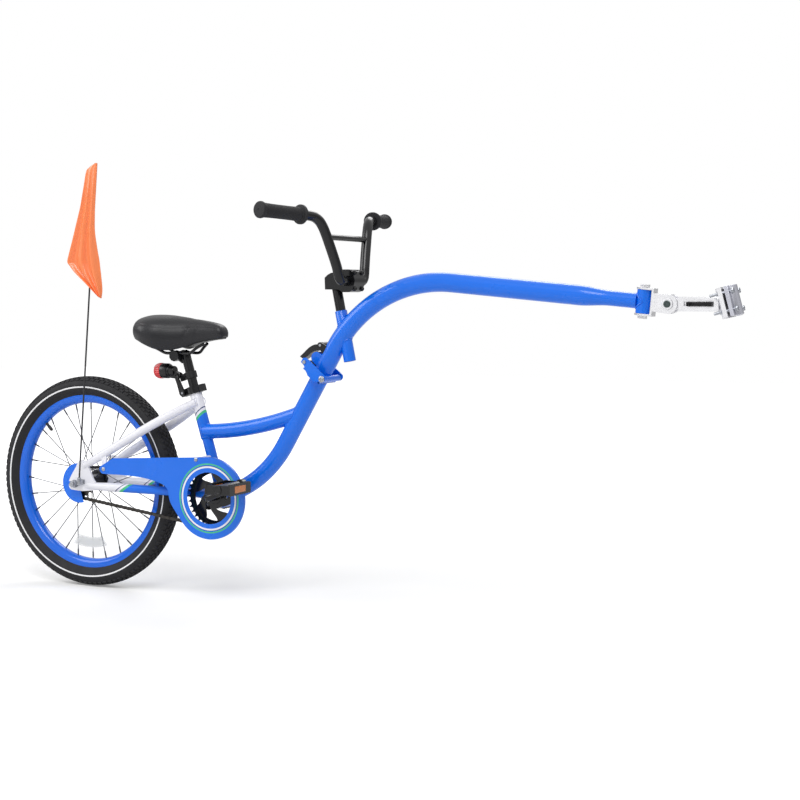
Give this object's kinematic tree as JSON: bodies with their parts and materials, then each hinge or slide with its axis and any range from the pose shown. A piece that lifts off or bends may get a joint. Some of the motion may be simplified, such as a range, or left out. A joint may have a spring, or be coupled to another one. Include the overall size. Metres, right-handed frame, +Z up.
{
  "type": "trailer bike",
  "caption": "Child's trailer bike: folding frame with saddle, handlebar and chain drive, behind a long arm whose hitch clamps to an adult bike's seat post.",
  "frame": {"origin": "middle of the seat-post clamp that holds the part up", "axes": "+X forward, +Z up, the drive side on -Y"},
  "size_m": [1.848, 0.5838, 1.0167],
  "materials": {
    "blue_paint": "gloss",
    "black_metal": "satin",
    "steel": "satin zinc",
    "black_plastic": "matte",
    "rubber": "matte",
    "tyre": "matte",
    "clear_lens": "clear gloss",
    "amber_lens": "clear gloss",
    "red_lens": "clear gloss",
    "cushion": "soft satin",
    "flag_cloth": "thin satin cloth"
  },
  "bodies": {
    "hitch_mount": {"hitch_clamp_rear": "steel", "hitch_clamp_front": "steel", "clamp_shim": "rubber", "clamp_bolt_1": "steel", "clamp_bolt_2": "steel", "clamp_bolt_3": "steel", "clamp_bolt_4": "steel"},
    "latch": {"latch_lever": "black_plastic"},
    "tongue_body": {"tongue": "steel", "pitch_bolt": "steel"},
    "clevis": {"yaw_clevis": "steel", "yaw_bolt": "steel"},
    "arm": {"tow_arm": "blue_paint"},
    "fold_lever_body": {"fold_lever": "black_plastic"},
    "stem_body": {"stem": "black_metal", "bar_clamp_plate": "black_metal"},
    "bar": {"handlebar": "black_metal", "grip_left": "rubber", "grip_right": "rubber"},
    "frame_body": {"rear_frame": "blue_paint", "fold_pivot_bolt": "steel", "fold_latch_pin": "steel", "chain_guard": "blue_paint", "rear_chain_cover": "blue_paint", "chain": "black_metal", "bb_cup_right": "steel", "bb_cup_left": "steel", "rear_axle": "steel", "axle_nut_right": "steel", "axle_nut_left": "steel", "seat_clamp": "black_metal", "seat_clamp_bolt": "steel", "flag_bracket": "steel", "flag_rod": "black_plastic", "flag": "flag_cloth"},
    "seat_lever_body": {"seat_clamp_lever": "black_metal"},
    "seat_post_body": {"seat_post": "black_metal", "light_strap": "black_plastic"},
    "saddle_body": {"saddle_clamp": "black_metal", "saddle_rails": "steel", "saddle_base": "black_plastic", "saddle_cushion": "cushion"},
    "light_body": {"light_housing": "black_plastic", "light_lens": "red_lens"},
    "wheel": {"tyre": "tyre", "inner_tube": "rubber", "rim": "blue_paint", "hub_and_spokes": "steel", "wheel_reflector": "clear_lens"},
    "sprocket": {"freewheel_sprocket": "black_metal"},
    "crank_set": {"crank": "black_metal", "chainring": "black_metal", "pedal_axle_right": "steel", "pedal_axle_left": "steel"},
    "pedal_right_body": {"pedal_right": "black_plastic", "pedal_right_lens_front": "amber_lens", "pedal_right_lens_rear": "amber_lens"},
    "pedal_left_body": {"pedal_left": "black_plastic", "pedal_left_lens_front": "amber_lens", "pedal_left_lens_rear": "amber_lens"}
  },
  "joints": [
    {"name": "latch_swing", "type": "hinge", "parent": "hitch_mount", "child": "latch", "pos_m": [-0.034, -0.0152, -0.005], "axis": [0, 0, 1], "range_deg": [0, 35], "stiffness_Nm_per_rad": 0.05, "springref_deg": -11.46},
    {"name": "tongue_slide", "type": "slide", "parent": "hitch_mount", "child": "tongue_body", "axis": [-1, 0, 0], "range_m": [0, 0.045]},
    {"name": "hitch_pitch", "type": "hinge", "parent": "tongue_body", "child": "clevis", "pos_m": [-0.121, 0, -0.005], "axis": [0, 1, 0], "range_deg": [-30, 30]},
    {"name": "hitch_yaw", "type": "hinge", "parent": "clevis", "child": "arm", "pos_m": [-0.174, 0, -0.0001], "axis": [0.0924, 0, 0.9957], "range_deg": [-75, 75]},
    {"name": "fold_lever_swing", "type": "hinge", "parent": "arm", "child": "fold_lever_body", "pos_m": [-0.9126, 0, -0.0987], "axis": [0, 1, 0], "range_deg": [0, 120]},
    {"name": "stem_height", "type": "slide", "parent": "arm", "child": "stem_body", "axis": [-0.1977, 0, 0.9803], "range_m": [-0.02, 0.03]},
    {"name": "bar_tilt", "type": "hinge", "parent": "stem_body", "child": "bar", "pos_m": [-0.83994, 0, 0.04403], "axis": [0, 1, 0], "range_deg": [-20, 30]},
    {"name": "arm_fold", "type": "hinge", "parent": "arm", "child": "frame_body", "pos_m": [-0.894, 0, -0.173], "axis": [0, -1, 0], "range_deg": [0, 140]},
    {"name": "seat_lever_swing", "type": "hinge", "parent": "frame_body", "child": "seat_lever_body", "pos_m": [-1.2828, -0.014, -0.2168], "axis": [0, -1, 0], "range_deg": [0, 100]},
    {"name": "seat_height", "type": "slide", "parent": "frame_body", "child": "seat_post_body", "axis": [-0.2874, 0, 0.9578], "range_m": [-0.012, 0.05]},
    {"name": "saddle_tilt", "type": "hinge", "parent": "seat_post_body", "child": "saddle_body", "pos_m": [-1.298, 0, -0.129], "axis": [0, 1, 0], "range_deg": [-12, 12]},
    {"name": "light_tilt", "type": "hinge", "parent": "seat_post_body", "child": "light_body", "pos_m": [-1.303, 0, -0.176], "axis": [0, 1, 0], "range_deg": [-20, 20]},
    {"name": "wheel_spin", "type": "hinge", "parent": "frame_body", "child": "wheel", "pos_m": [-1.562, 0, -0.44], "axis": [0, 1, 0], "continuous": true},
    {"name": "cog_spin", "type": "hinge", "parent": "frame_body", "child": "sprocket", "pos_m": [-1.562, 0, -0.44], "axis": [0, 1, 0], "continuous": true},
    {"name": "crank_spin", "type": "hinge", "parent": "frame_body", "child": "crank_set", "pos_m": [-1.17656, 0, -0.452], "axis": [0, 1, 0], "continuous": true, "deforming": ["chain"]},
    {"name": "pedal_right_spin", "type": "hinge", "parent": "crank_set", "child": "pedal_right_body", "pos_m": [-1.07854, -0.139, -0.41437], "axis": [0, 1, 0], "continuous": true},
    {"name": "pedal_left_spin", "type": "hinge", "parent": "crank_set", "child": "pedal_left_body", "pos_m": [-1.27459, 0.139, -0.48963], "axis": [0, 1, 0], "continuous": true}
  ],
  "couplings": [
    {"joint": "cog_spin", "follows": "crank_spin", "ratio": 2}
  ]
}
